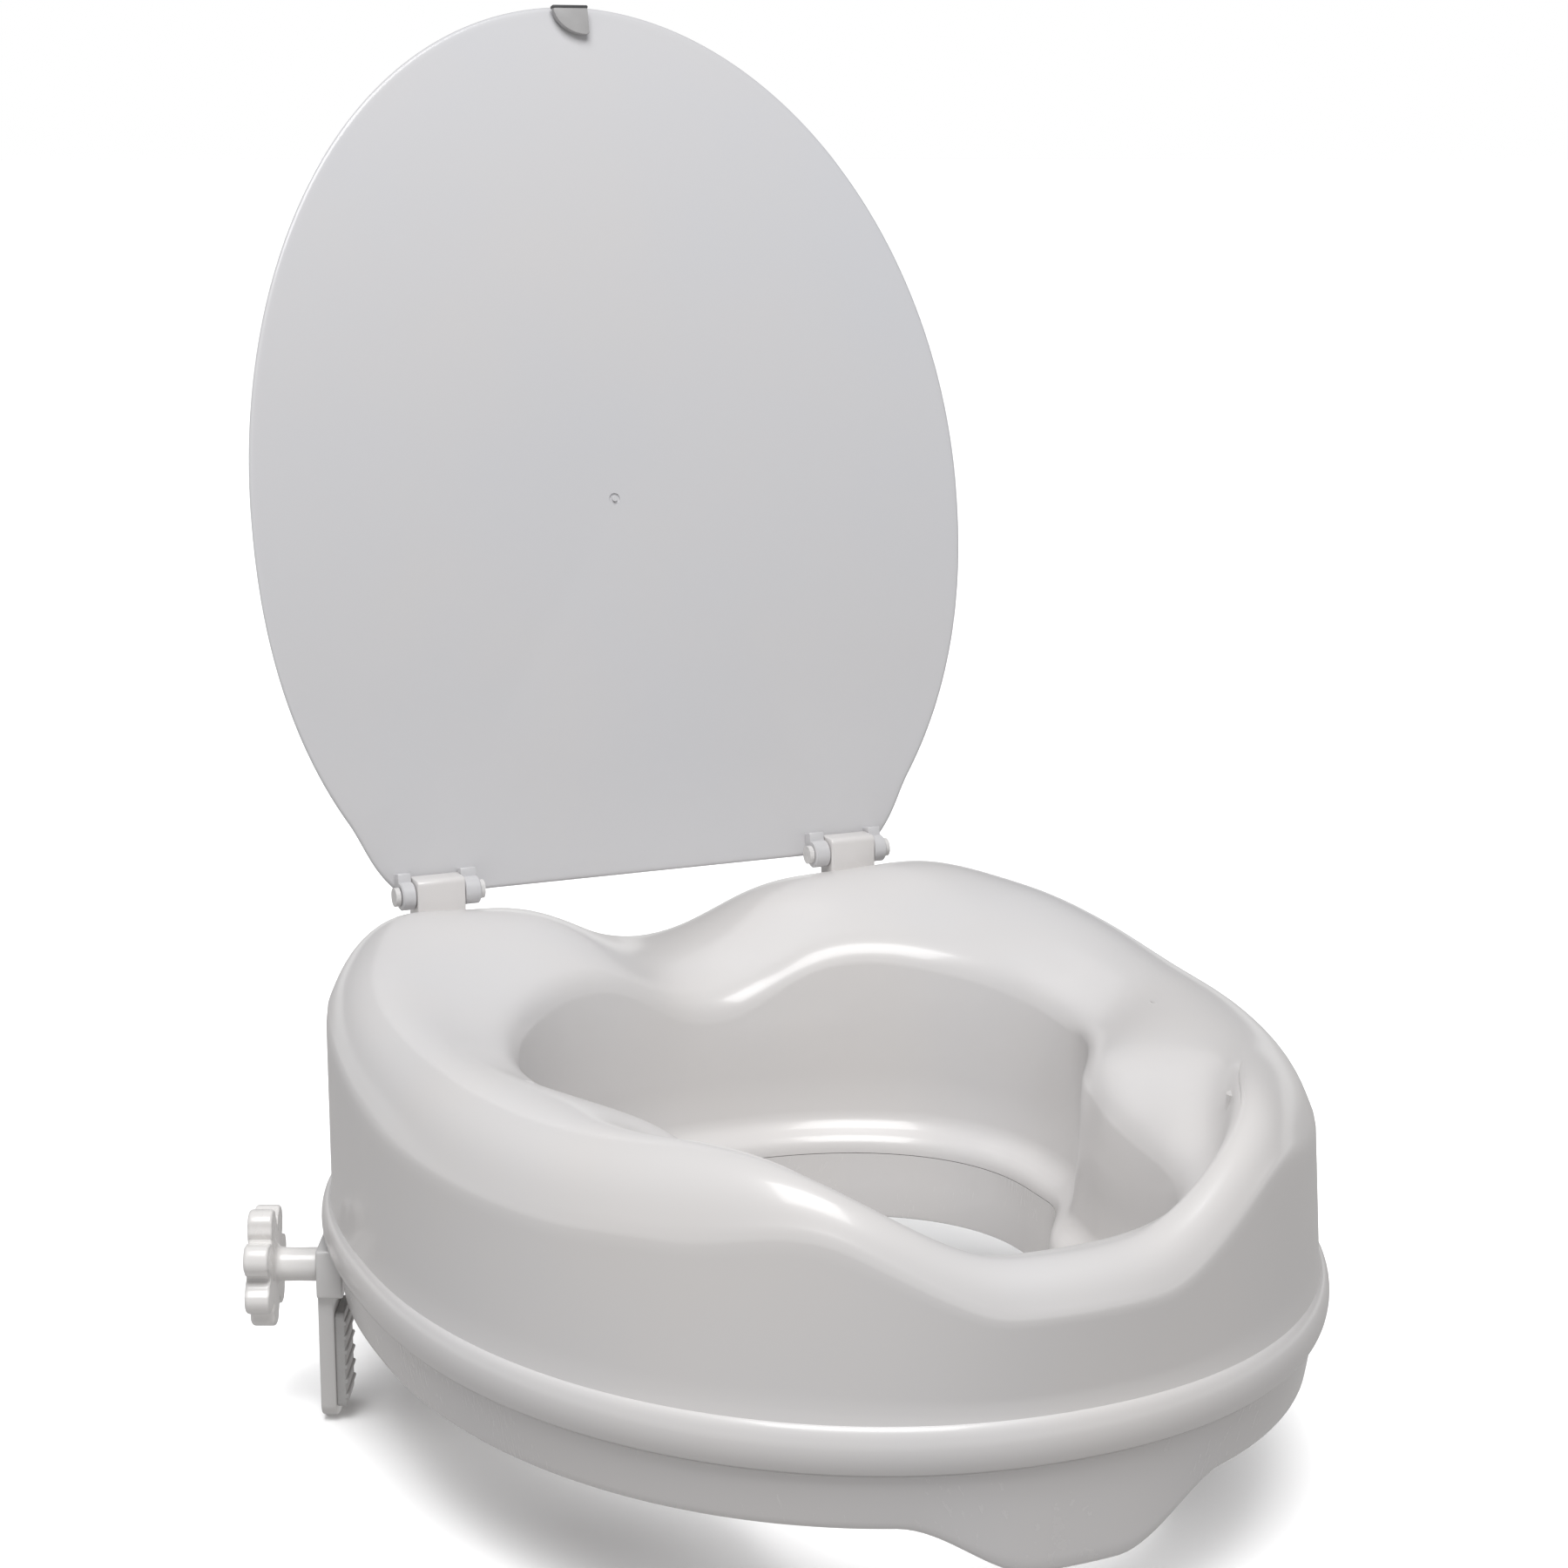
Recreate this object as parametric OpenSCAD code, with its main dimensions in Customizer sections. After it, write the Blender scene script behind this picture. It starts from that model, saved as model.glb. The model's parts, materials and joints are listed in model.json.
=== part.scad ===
// Raised toilet seat with hinged lid and two side clamps.
// Axes: +X right, +Y back (hinge side), +Z up. Origin: plan centre on the underside of the base ring.

/* [Seat] */
// Half width of the seat body
seat_w = 185; // [160:1:210]
// Front reach of the top outline
seat_front = 230; // [200:1:260]
// Rear reach of the top outline
seat_rear = 211; // [190:1:235]
// Height of the sitting surface at mid length
seat_h = 125.1; // [90:0.1:170]
// Edge radius round the top
edge_r = 21; // [8:1:28]
edge_front = 15; // [8:1:24]
edge_side = 28; // [16:1:36]
// Depth of the front scoop
scoop_front = 44.6; // [0:0.2:55]
// Depth of the rear scoop
scoop_rear = 27; // [0:1:45]
// Wall thickness of the moulded shell
wall = 4; // [3:0.5:6]

/* [Opening] */
// Half width of the opening
open_w = 117; // [95:1:125]
// Reach of the opening to the front
open_front = 200; // [170:1:205]
// Reach of the opening to the rear
open_rear = 97; // [80:1:110]
// Rounding radius into the opening
lip_r = 14; // [8:1:18]
// How far the thigh bulges narrow the opening
bulge = 25; // [0:1:28]

/* [Base] */
// Height of the bead above the underside
bead_z = 31; // [26:1:40]
// How far the bead stands proud
bead_out = 4.3; // [2:0.1:8]
// Drop of the front apron
apron_drop = 20.5; // [0:0.5:30]

/* [Lid] */
// Half width of the lid
lid_w = 170; // [150:1:180]
// Length of the lid from the hinge line
lid_l = 395; // [360:1:410]
// Lean of the open lid behind upright
lid_lean = 12.4; // [5:0.1:20]
// Dome height of the lid
lid_dome = 8; // [0:1:16]

/* [Hinge] */
// Hinge line position from the plan centre
hinge_y = 182; // [170:1:195]
// Hinge line height
hinge_z = 139.3; // [120:0.1:160]
// Knuckle radius
knuckle_r = 6.2; // [5:0.1:8]
// Hinge pin radius
pin_r = 2.5; // [2:0.1:3.5]

/* [Clamps] */
// Angle of the clamp screws behind the cross axis
clamp_a = 24; // [0:1:35]
// Height of the clamp screw above the underside
clamp_z = 9.5; // [8:0.1:14]
// Length of the clamp tongue below the underside
tongue = 55; // [40:1:65]
// Knob radius over the lobes
knob_r = 25.5; // [20:0.5:30]
// Clamp travel
travel = 16; // [8:1:17]

/* [Hidden] */

white = [0.93, 0.92, 0.91];
grey = [0.45, 0.45, 0.46];
steel = [0.72, 0.73, 0.75];

n_round = 96;
base_front = seat_front - 5;
base_rear = seat_rear - 7;
split_z = bead_z - 9.2;
open_y = 8;
dish = 12;
lip_fall = 39.4;
liner_top = 28.6;
boss_angles = [50, 90, 130, 190, 227, 270, 313, 350];
pad_angles = [68, 112, 207, 245, 295, 333];
// clamp seat on the outer wall
clamp_x = 177.5;
clamp_y = 91.3;

function ss(t) = let (q = min(1, max(0, t))) q * q * (3 - 2 * q);
function mix(a, b, t) = a + (b - a) * t;
function se(t, w, lf, lb, nf, nb) = let (c = cos(t), s = sin(t), n = s < 0 ? nf : nb, l = s < 0 ? lf : lb)
    [w * sign(c) * pow(abs(c), 2 / n), l * sign(s) * pow(abs(s), 2 / n)];

// outer outline: h = 0 at the top, 1 at the base
function outer(t, h, off) = se(t, seat_w + off, mix(seat_front, base_front, h) + off,
    mix(seat_rear, base_rear, h) + off, mix(2.0, 2.1, h), mix(2.6, 2.5, h));
// thigh bulge as a change of half width along the length
function pinch(y) = bulge * ss((-y - 18) / 60) * (1 - ss((-y - 96) / 80));
function opening(t, off) = let (p = se(t, open_w + off, open_front + off, open_rear + off, 2.4, 2.2))
    [p[0] - sign(p[0]) * min(abs(p[0]), pinch(p[1])), p[1] + open_y];

// radius of the outer shoulder: tight at the front scoop, wide along the thighs
function shoulder(t) = let (p = outer(t, 0, -edge_r))
    mix(mix(edge_front, edge_side, ss((abs(p[0]) - 72) / 45)), edge_r, ss((p[1] + 30) / 100));
// soft form of max(0, v)
function soft(v, w) = (v + sqrt(v * v + w * w)) / 2;
// front scoop: flat over the middle, then a long even rise to the thigh rests
function scoop(x, y) = let (q = soft(abs(x) - 32, 6) / 70, g = mix(pow(q, 0.85), ss(q), 0.35))
    scoop_front * ss((-y - 112) / 80) * soft(1 - g, 0.1);
// how far the outer part of the thigh rests stands above the dished inner part
function thigh(y) = 3 * ss((20 - y) / 60) + 2.5 * ss((-y - 100) / 45);
// height of the sitting surface over the plan, s = 0 at the outer edge and 1 at the opening
function crest(x, y, s) = let (u = y / 200)
    (y < 100 ? seat_h + 14.3 * u + 18.7 * u * u : seat_h + 11.8 + 5 * ss((y - 100) / 50))
    - 9.5 * ss((y - 145) / 35) * (1 - ss((abs(x) - 100) / 32))
    + 4.5 * ss((y - 148) / 30) * ss((abs(x) - 112) / 30)
    - mix(scoop(x, y) - thigh(y), fall(y), pow(s, 1.4))
    - scoop_rear * exp(-pow(abs(x) / 42, 2.3)) * ss((y - 72) / 55);
// fall of the lip of the opening towards the front
function fall(y) = min(lip_fall, dish + 26 * pow(max(0, (-y - 70) / 130), 1.2));
// top surface between the outer edge and the opening, s = 0..1
function top_pt(t, s, drop) = let (a = outer(t, 0, -shoulder(t)), b = opening(t, lip_r),
    x = mix(a[0], b[0], s), y = mix(a[1], b[1], s)) [x, y, crest(x, y, s) - drop];
function lip_pt(t, r, a, cut) = let (b = opening(t, lip_r), e = opening(t, lip_r - r * cos(a)),
    z0 = crest(b[0], b[1], 1) - lip_r) [e[0], e[1], z0 + r * sin(a) - cut];
function edge_pt(t, cut, a) = let (e = shoulder(t), r = e - cut, c = outer(t, 0, -e), p = outer(t, 0, -e + r * cos(a)))
    [p[0], p[1], crest(c[0], c[1], 0) - e + r * sin(a)];
function wall_pt(t, off, f, z0) = let (e = shoulder(t), c = outer(t, 0, -e), zt = crest(c[0], c[1], 0) - e,
    p = outer(t, f, off)) [p[0], p[1], mix(zt, z0, f)];
function flat_pt(t, off, z) = let (p = outer(t, 1, off)) [p[0], p[1], z];
function in_pt(t, off, z) = let (p = opening(t, off)) [p[0], p[1], z];
// bead section
function bead_pt(t, a) = flat_pt(t, 2.3 + bead_out * cos(a), bead_z + 9.2 * sin(a));

module ring_body(rows) {
    m = len(rows[0]);
    n = len(rows);
    polyhedron([for (r = rows) each r],
        [for (i = [0:n - 1], j = [0:m - 1]) let (i2 = (i + 1) % n, j2 = (j + 1) % m)
            each [[i * m + j, i * m + j2, i2 * m + j2], [i * m + j, i2 * m + j2, i2 * m + j]]],
        convexity = 12);
}

function shell_row(t) = concat(
    [for (a = [-78, -45, -10, 25, 60, 80]) bead_pt(t, a)],
    [wall_pt(t, 2.2, 0.97, 44), wall_pt(t, 1.5, 0.6, 44), wall_pt(t, 0.6, 0.25, 44)],
    [for (a = [0, 18, 36, 54, 72, 90]) edge_pt(t, 0, a)],
    [for (s = [0.25, 0.5, 0.75]) top_pt(t, s, 0)],
    [for (a = [90, 66, 42, 20, 0]) lip_pt(t, lip_r, a, 0)],
    [in_pt(t, -3.4, 44), in_pt(t, -5.5, 39.5), in_pt(t, -10.5, 35), in_pt(t, -13, 32.5), in_pt(t, -13.5, liner_top + 0.3)],
    [in_pt(t, -9.8, liner_top + 0.3), in_pt(t, -9.3, 33), in_pt(t, -0.4, 42)],
    [for (a = [0, 45, 90]) lip_pt(t, lip_r - wall, a, 0)],
    [top_pt(t, 0.5, wall)],
    [for (a = [90, 60, 30, 0]) edge_pt(t, wall, a)],
    [wall_pt(t, 2.3 - wall, 0.97, 44), flat_pt(t, 0.6, bead_z + 2), flat_pt(t, -1.9, split_z + 3.5),
     flat_pt(t, -1.9, split_z)]);

function apron(x, y) = y > 0 ? 0 : apron_drop * (1 - ss((abs(x) - 16) / 50));
function apron_at(t, off) = let (p = outer(t, 1, off)) apron(p[0], p[1]);
function base_row(t) = [
    flat_pt(t, -2.6, -apron_at(t, 0)), flat_pt(t, -1.4, 1.6 - apron_at(t, 0)),
    flat_pt(t, 0.3, mix(12, 8, apron_at(t, 0) / 30)), flat_pt(t, 1.7, split_z - 1.2), flat_pt(t, 1.2, split_z - 0.3),
    flat_pt(t, -2.3, split_z - 0.3), flat_pt(t, -2.3, split_z + 10), flat_pt(t, -5.3, split_z + 10),
    flat_pt(t, -5.3, 3.2), in_pt(t, -10.4, 3.2), in_pt(t, -10.4, liner_top), in_pt(t, -13.5, liner_top),
    in_pt(t, -15.6, 1.5), in_pt(t, -14.6, 0), flat_pt(t, -6.2, 0),
    flat_pt(t, -4.8, -apron_at(t, 0) - 0.01)];

// middle of the channel between skirt and liner
function mid(t, f) = let (a = outer(t, 0, -edge_r), b = opening(t, lip_r)) [mix(a[0], b[0], f), mix(a[1], b[1], f)];
function boss_top(t) = let (p = mid(t, 0.5)) crest(p[0], p[1], 0.5 - (shoulder(t) - edge_r) / 70) - 1.9;

// local clamp frame: +X outwards along the screw, origin on the screw line at the outer wall
module clamp_frame(side) {
    mirror([side < 0 ? 1 : 0, 0, 0]) translate([clamp_x, clamp_y, clamp_z]) rotate([0, 0, clamp_a]) children();
}
module rod(r, x0, x1) { translate([x0, 0, 0]) rotate([0, 90, 0]) cylinder(h = x1 - x0, r = r, $fn = 48); }

module seat_shell() {
    color(white) difference() {
        union() {
            ring_body([for (i = [0:n_round - 1]) shell_row(i * 360 / n_round)]);
            for (t = boss_angles) let (p = mid(t, 0.5))
                translate([p[0], p[1], 7.3]) cylinder(h = boss_top(t) - 7.3, r = 4.6, $fn = 40);
            for (s = [-1, 1]) {
                translate([s * 100, hinge_y, hinge_z]) rotate([0, 90, 0])
                    cylinder(h = 22, r = knuckle_r, center = true, $fn = 48);
                translate([s * 100 - 11, hinge_y - knuckle_r, hinge_z - 12])
                    cube([22, 2 * knuckle_r, 12]);
            }
        }
        for (s = [-1, 1]) translate([s * 100, hinge_y, hinge_z]) rotate([0, 90, 0])
            cylinder(h = 30, r = pin_r + 0.05, center = true, $fn = 48);
        for (t = boss_angles) let (p = mid(t, 0.5))
            translate([p[0], p[1], 6]) cylinder(h = 22, r = 1.85, $fn = 32);
    }
}

module base_ring() {
    color(white) difference() {
        union() {
            ring_body([for (i = [0:n_round - 1]) base_row(i * 360 / n_round)]);
            for (t = boss_angles) let (p = mid(t, 0.5))
                translate([p[0], p[1], 0.2]) cylinder(h = 6.8, r = 7.5, $fn = 40);
            // housings round the clamp pockets with the nut bosses behind
            intersection() {
                for (s = [-1, 1]) clamp_frame(s) {
                    translate([-27, -24, -clamp_z + 0.2]) cube([30, 48, 26]);
                    translate([-37, -11, -clamp_z + 0.2]) cube([11, 22, 20]);
                }
                linear_extrude(32) polygon([for (i = [0:n_round - 1]) outer(i * 360 / n_round, 1, -3.4)]);
            }
        }
        for (t = boss_angles) let (p = mid(t, 0.5)) {
            translate([p[0], p[1], -1]) cylinder(h = 4.6, r = 4.8, $fn = 40);
            translate([p[0], p[1], 2]) cylinder(h = 8, r = 2.2, $fn = 32);
        }
        for (s = [-1, 1]) clamp_frame(s) {
            translate([-24, -20, -clamp_z - 30]) cube([60, 40, 30 + split_z + 2.6]);
            rod(4.4, -60, 0);
            // hexagon pocket for the captive nut
            translate([-38, 0, 0]) rotate([0, 90, 0]) cylinder(h = 7.4, r = 7.7, $fn = 6);
        }
    }
}

module base_screws() {
    color(steel) for (t = boss_angles) let (p = mid(t, 0.5)) translate([p[0], p[1], 0]) {
        difference() {
            union() {
                translate([0, 0, 0.9]) cylinder(h = 2.6, r = 4, $fn = 40);
                translate([0, 0, 3.4]) cylinder(h = 21.6, r = 1.8, $fn = 32);
            }
            for (a = [0, 90]) rotate([0, 0, a]) translate([-2.4, -0.4, 0.8]) cube([4.8, 0.8, 1.3]);
        }
    }
}

module rim_pads() {
    color(grey) for (t = pad_angles) let (p = mid(t, 0.5), q = mid(t + 1, 0.5), a = atan2(q[1] - p[1], q[0] - p[0]))
        translate([p[0], p[1], -2.5]) rotate([0, 0, a]) {
            translate([-17, -6, 0]) cube([34, 12, 2.5]);
            for (e = [-17, 17]) translate([e, 0, 0]) cylinder(h = 2.5, r = 6, $fn = 40);
        }
}

// lid frame: origin on the hinge line, +Y along the lid away from the hinge, +Z out of its outer face
module lid_frame() {
    translate([0, hinge_y, hinge_z]) rotate([90 - lid_lean, 0, 0]) mirror([0, 0, 1]) children();
}
lid_c = 166.5;
function lid_rim(t) = let (p = se(t, lid_w, 205, lid_l - lid_c, 2.2, 2), s = lid_c + p[1])
    [p[0] * (1 + 0.055 * (1 - ss(s / 34))), max(s, -0.5)];
// the lid is bowed along its length to follow the seat
function lid_face(y) = 7 - 14 * (1 - pow((y - 195) / 196, 2));
function lid_pt(t, r, top) = let (p = lid_rim(t), x = p[0] * r, y = lid_c + (p[1] - lid_c) * r,
    e = max(0, r - 0.93) / 0.07)
    [x, y, lid_face(y) + lid_dome * (1 - r * r) * (1 - 0.25 * r) + (top ? 3.4 - 1.2 * e * e : 0)];
module lid_plate() {
    rr = [0.12, 0.3, 0.48, 0.64, 0.78, 0.88, 0.94, 0.975, 1];
    k = len(rr);
    n = n_round;
    pts = concat([for (r = rr, i = [0:n - 1]) lid_pt(i * 360 / n, r, true)],
        [for (r = rr, i = [0:n - 1]) lid_pt(i * 360 / n, r, false)],
        [lid_pt(0, 0, true), lid_pt(0, 0, false)]);
    b = k * n;
    polyhedron(pts, concat(
        [for (j = [0:k - 2], i = [0:n - 1]) let (i2 = (i + 1) % n) each
            [[j * n + i, (j + 1) * n + i2, (j + 1) * n + i], [j * n + i, j * n + i2, (j + 1) * n + i2]]],
        [for (j = [0:k - 2], i = [0:n - 1]) let (i2 = (i + 1) % n) each
            [[b + j * n + i, b + (j + 1) * n + i, b + (j + 1) * n + i2], [b + j * n + i, b + (j + 1) * n + i2, b + j * n + i2]]],
        [for (i = [0:n - 1]) let (i2 = (i + 1) % n, a = (k - 1) * n) each
            [[a + i, a + i2, b + a + i2], [a + i, b + a + i2, b + a + i]]],
        [for (i = [0:n - 1]) let (i2 = (i + 1) % n) [i, 2 * b, i2]],
        [for (i = [0:n - 1]) let (i2 = (i + 1) % n) [b + i, b + i2, 2 * b + 1]]), convexity = 6);
}
module lid() {
    color(white) lid_frame() difference() {
        union() {
            lid_plate();
            for (s = [-1, 1], k = [[81.4, 88.6], [111.4, 117.4]])
                translate([s > 0 ? k[0] : -k[1], 0, 0]) {
                    rotate([0, 90, 0]) cylinder(h = k[1] - k[0], r = knuckle_r, $fn = 48);
                    cube([k[1] - k[0], 10, 9.4]);
                }
        }
        // clearance round the seat knuckles
        for (s = [-1, 1]) translate([s * 100 - 11.4, -9, -9]) cube([22.8, 16.5, 24]);
        rotate([0, 90, 0]) cylinder(h = 250, r = pin_r + 0.05, center = true, $fn = 48);
    }
}
module lid_lift_tab() {
    color(grey) lid_frame() translate([0, lid_l - 15, lid_face(lid_l - 8) - 3.9])
        difference() {
            translate([-8.5, 0, 0]) cube([17, 14.6, 3.4]);
            for (m = [0, 1]) mirror([m, 0, 0]) translate([-8.5, 6, -1]) rotate([0, 0, -24])
                translate([-12, -14, 0]) cube([12, 22, 6]);
        }
}
module pin_at(s) {
    color(steel) translate([s * 99.5, hinge_y, hinge_z]) rotate([0, 90, 0])
        cylinder(h = 38, r = pin_r, center = true, $fn = 48);
}
module hinge_pin_left() { pin_at(-1); }
module hinge_pin_right() { pin_at(1); }
module hinge_pin_caps() {
    color(white) for (s = [-1, 1], e = [[79.0, 81.2], [117.8, 120.0]])
        translate([s > 0 ? e[0] : -e[1], hinge_y, hinge_z]) rotate([0, 90, 0]) difference() {
            cylinder(h = e[1] - e[0], r = 4.2, $fn = 48);
            if (e[0] < 100) translate([0, 0, s > 0 ? 1 : -1]) cylinder(h = 2.2, r = pin_r + 0.1, $fn = 48);
            else translate([0, 0, s > 0 ? -1 : 1]) cylinder(h = 2.2, r = pin_r + 0.1, $fn = 48);
        }
}

module bracket_shape() {
    difference() {
        union() {
            // block riding in the pocket, tongue below it
            translate([-6, -17, -clamp_z + 0.4]) cube([10.8, 34, 20.8]);
            translate([-1.6, -14, -clamp_z - tongue + 8]) cube([6.4, 28, tongue - 7]);
            translate([-1.6, 0, -clamp_z - tongue + 8]) rotate([0, 90, 0])
                scale([8 / 14, 1, 1]) cylinder(h = 6.4, r = 14, $fn = 64);
        }
        rod(4.25, -8, 9);
        // weight-saving recess on the outer face of the tongue
        translate([2.8, -9, -clamp_z - tongue + 12]) cube([4, 18, tongue - 22]);
    }
}
module pad_shape() {
    translate([-5.6, -12, -clamp_z - tongue + 6]) cube([4, 24, tongue - 14]);
    for (i = [0:5]) translate([-5.6, 0, -clamp_z - tongue + 11 + i * 6.4]) rotate([90, 0, 0])
        cylinder(h = 24, r = 0.9, center = true, $fn = 24);
}
module knob_shape() {
    difference() {
        union() {
            rod(7, 6.1, 25);
            rod(17.5, 23, 33.6);
            for (i = [0:6]) rotate([i * 360 / 7, 0, 0]) translate([0, knob_r - 6.8, 0]) rod(6.8, 23.4, 33.3);
        }
        for (i = [0:6]) rotate([(i + 0.5) * 360 / 7, 0, 0]) translate([0, knob_r + 0.6, 0]) rod(6.2, 20, 40);
        rod(4.05, 4, 29);
        rod(9.2, 32, 37);
    }
}
module stud_shape() {
    difference() {
        rod(4, -36, 28.8);
        // groove for the retaining clip
        difference() { rod(4.6, -7.5, -6.4); rod(3.3, -8, -6); }
        for (i = [0:10]) translate([-35 + i * 2.2, 0, 0]) difference() { rod(4.6, 0, 0.9); rod(3.5, -1, 2); }
    }
}

module clamp_bracket_left() { color(white) clamp_frame(-1) bracket_shape(); }
module clamp_bracket_right() { color(white) clamp_frame(1) bracket_shape(); }
module clamp_pad_left() { color(grey) clamp_frame(-1) pad_shape(); }
module clamp_pad_right() { color(grey) clamp_frame(1) pad_shape(); }
module clamp_stud_left() { color(steel) clamp_frame(-1) stud_shape(); }
module clamp_stud_right() { color(steel) clamp_frame(1) stud_shape(); }
module clamp_knob_left() { color(white) clamp_frame(-1) knob_shape(); }
module clamp_knob_right() { color(white) clamp_frame(1) knob_shape(); }
module cap_shape() { rod(9, 32.05, 34.2); }
module knob_cap_left() { color(grey) clamp_frame(-1) cap_shape(); }
module knob_cap_right() { color(grey) clamp_frame(1) cap_shape(); }
module washer_shape() { difference() { rod(7.4, 4.9, 5.9); rod(4.4, 3, 9); } }
module thrust_washer_left() { color(steel) clamp_frame(-1) washer_shape(); }
module thrust_washer_right() { color(steel) clamp_frame(1) washer_shape(); }
module clip_shape() {
    difference() {
        rod(6.4, -7.35, -6.5);
        rod(3.4, -9, -5);
        translate([-9, -0.9, -8]) cube([4, 1.8, 8]);
    }
}
module stud_clip_left() { color(steel) clamp_frame(-1) clip_shape(); }
module stud_clip_right() { color(steel) clamp_frame(1) clip_shape(); }
module nut_shape() {
    difference() {
        translate([-37.4, 0, 0]) rotate([0, 90, 0]) cylinder(h = 6.5, r = 7.5, $fn = 6);
        rod(4.06, -40, -20);
    }
}
module clamp_nut_left() { color(steel) clamp_frame(-1) nut_shape(); }
module clamp_nut_right() { color(steel) clamp_frame(1) nut_shape(); }

seat_shell();
base_ring();
base_screws();
rim_pads();
lid();
lid_lift_tab();
hinge_pin_left();
hinge_pin_right();
hinge_pin_caps();
clamp_bracket_left();
clamp_bracket_right();
clamp_pad_left();
clamp_pad_right();
clamp_stud_left();
clamp_stud_right();
clamp_knob_left();
clamp_knob_right();
knob_cap_left();
knob_cap_right();
thrust_washer_left();
thrust_washer_right();
stud_clip_left();
stud_clip_right();
clamp_nut_left();
clamp_nut_right();
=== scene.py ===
"""Raised toilet seat with an open lid and two screw clamps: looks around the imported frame."""
import json
import math

import bpy
import bmesh
import numpy as np
from mathutils import Matrix, Vector


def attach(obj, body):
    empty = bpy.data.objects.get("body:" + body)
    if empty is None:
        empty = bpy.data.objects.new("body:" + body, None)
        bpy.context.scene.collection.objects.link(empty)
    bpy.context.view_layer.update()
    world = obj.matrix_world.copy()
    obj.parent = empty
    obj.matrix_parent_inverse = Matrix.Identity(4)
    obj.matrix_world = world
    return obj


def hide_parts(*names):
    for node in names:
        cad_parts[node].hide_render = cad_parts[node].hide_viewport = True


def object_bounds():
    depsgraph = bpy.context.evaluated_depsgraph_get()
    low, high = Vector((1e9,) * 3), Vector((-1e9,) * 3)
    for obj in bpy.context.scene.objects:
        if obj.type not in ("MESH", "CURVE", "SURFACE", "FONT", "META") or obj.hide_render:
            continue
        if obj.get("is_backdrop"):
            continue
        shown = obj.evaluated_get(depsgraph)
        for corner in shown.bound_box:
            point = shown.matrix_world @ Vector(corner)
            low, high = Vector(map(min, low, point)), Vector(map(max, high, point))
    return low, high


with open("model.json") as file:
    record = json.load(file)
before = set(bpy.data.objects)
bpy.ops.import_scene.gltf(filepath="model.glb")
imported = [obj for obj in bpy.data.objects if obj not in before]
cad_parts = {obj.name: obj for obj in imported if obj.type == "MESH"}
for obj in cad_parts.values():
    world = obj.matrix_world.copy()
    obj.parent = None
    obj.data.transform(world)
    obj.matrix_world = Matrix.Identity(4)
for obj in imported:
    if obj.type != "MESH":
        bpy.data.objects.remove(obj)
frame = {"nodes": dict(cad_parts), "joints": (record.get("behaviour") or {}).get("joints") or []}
cad_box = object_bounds()
NODES = frame["nodes"]
JOINTS = {j["name"]: j for j in frame["joints"]}
MM = 0.001

# ---------------------------------------------------------------- dimensions, mm, as in the CAD
SEAT_W, SEAT_FRONT, SEAT_REAR, SEAT_H, EDGE_R = 185.0, 230.0, 211.0, 125.1, 21.0
SCOOP_FRONT, SCOOP_REAR, WALL, DISH, LIP_FALL = 44.6, 27.0, 4.0, 12.0, 39.4
EDGE_FRONT, EDGE_SIDE = 15.0, 28.0
OPEN_W, OPEN_FRONT, OPEN_REAR, LIP_R, BULGE, OPEN_Y = 117.0, 200.0, 97.0, 14.0, 25.0, 8.0
BEAD_Z, BEAD_OUT, SPLIT_Z, APRON, LINER_TOP = 31.0, 4.3, 21.8, 20.5, 28.6
LID_W, LID_L, LID_C, LID_LEAN, LID_DOME = 170.0, 395.0, 166.5, 12.4, 8.0
HINGE_Y, HINGE_Z = [1000 * v for v in JOINTS["lid_hinge"]["pos_m"][1:]]
KNUCKLE_R, PIN_BORE = 6.2, 2.55
CLAMP_X, CLAMP_Y, CLAMP_Z, CLAMP_A, TONGUE = 177.5, 91.3, 9.5, math.radians(24), 55.0
KNOB_R, LOBES, PITCH = 25.5, 7, 1.25
BOSS_ANGLES = (50, 90, 130, 190, 227, 270, 313, 350)
HINGE_X = 100
ROUND = 384
TS = np.linspace(0, 2 * math.pi, ROUND, endpoint=False)


def ss(t):
    q = np.clip(t, 0, 1)
    return q * q * (3 - 2 * q)


def mix(a, b, t):
    return a + (b - a) * t


def se(t, w, lf, lb, nf, nb):
    """Superellipse of half width w, with its own length and power at the front and at the rear."""
    c, s = np.cos(t), np.sin(t)
    n = np.where(s < 0, nf, nb)
    ln = np.where(s < 0, lf, lb)
    return w * np.sign(c) * np.abs(c) ** (2 / n), ln * np.sign(s) * np.abs(s) ** (2 / n)


def outer(t, h, off):
    """Outline of the seat, h = 0 at the shoulder and 1 at the bead, moved out by off."""
    front, rear = mix(SEAT_FRONT, SEAT_FRONT - 5, h), mix(SEAT_REAR, SEAT_REAR - 7, h)
    return se(t, SEAT_W + off, front + off, rear + off, mix(2.0, 2.1, h), mix(2.6, 2.5, h))


def pinch(y):
    return BULGE * ss((-y - 18) / 60) * (1 - ss((-y - 96) / 80))


def opening(t, off):
    x, y = se(t, OPEN_W + off, OPEN_FRONT + off, OPEN_REAR + off, 2.4, 2.2)
    return x - np.sign(x) * np.minimum(np.abs(x), pinch(y)), y + OPEN_Y


def shoulder(t):
    """Radius of the outer shoulder: tight at the front scoop, wide along the thighs."""
    x, y = outer(t, 0, -EDGE_R)
    return mix(mix(EDGE_FRONT, EDGE_SIDE, ss((np.abs(x) - 72) / 45)), EDGE_R, ss((y + 30) / 100))


def soft(v, w):
    return (v + np.sqrt(v * v + w * w)) / 2


def scoop(x, y):
    """Front scoop: flat over the middle, then a long even rise to the thigh rests."""
    q = soft(np.abs(x) - 32, 6) / 70
    return SCOOP_FRONT * ss((-y - 112) / 80) * soft(1 - mix(q ** 0.85, ss(q), 0.35), 0.1)


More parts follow.
